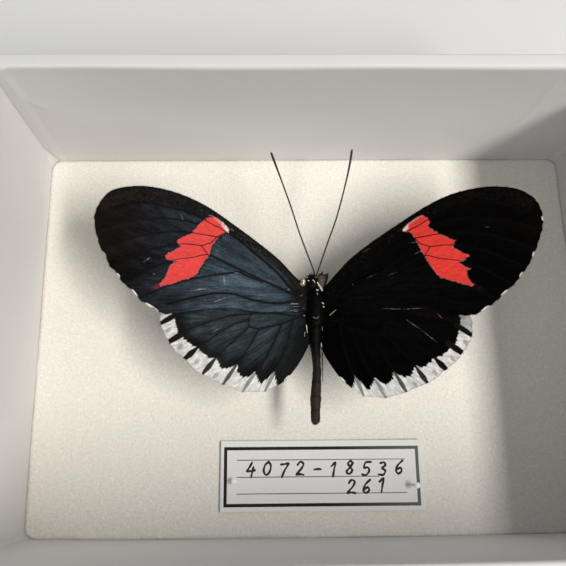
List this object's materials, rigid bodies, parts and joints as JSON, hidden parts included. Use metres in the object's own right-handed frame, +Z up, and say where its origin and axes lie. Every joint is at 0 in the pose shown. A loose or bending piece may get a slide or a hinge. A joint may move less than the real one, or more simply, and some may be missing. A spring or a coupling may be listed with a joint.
{
  "type": "pinned butterfly in card box",
  "caption": "Spread butterfly on a pin over a white foam pad in a small open card box, with a paper label held by headed pins.",
  "frame": {"origin": "middle of the box's underside", "axes": "+X along the box, +Y towards the insect's head and the box's back wall, +Z up"},
  "size_m": [0.1, 0.072, 0.041],
  "materials": {
    "card": "matte",
    "foam": "matte",
    "label": "matte",
    "steel": "satin",
    "body": "matte",
    "abdomen": "matte",
    "eye": "gloss",
    "forewing": "satin",
    "hindwing": "satin",
    "antenna": "matte"
  },
  "bodies": {
    "root": {"box_tray": "card", "foam_base": "foam", "label_card": "label", "label_pin_left": "steel", "label_pin_right": "steel", "specimen_pin": "steel", "thorax": "body", "head": "body", "eye_left": "eye", "eye_right": "eye", "palp_left": "body", "palp_right": "body", "proboscis": "body", "abdomen": "abdomen", "forewing_left": "forewing", "forewing_right": "forewing", "hindwing_left": "hindwing", "hindwing_right": "hindwing", "antenna_left": "antenna", "antenna_right": "antenna", "leg_mid_left": "body", "leg_mid_right": "body", "leg_hind_left": "body", "leg_hind_right": "body"}
  },
  "joints": []
}
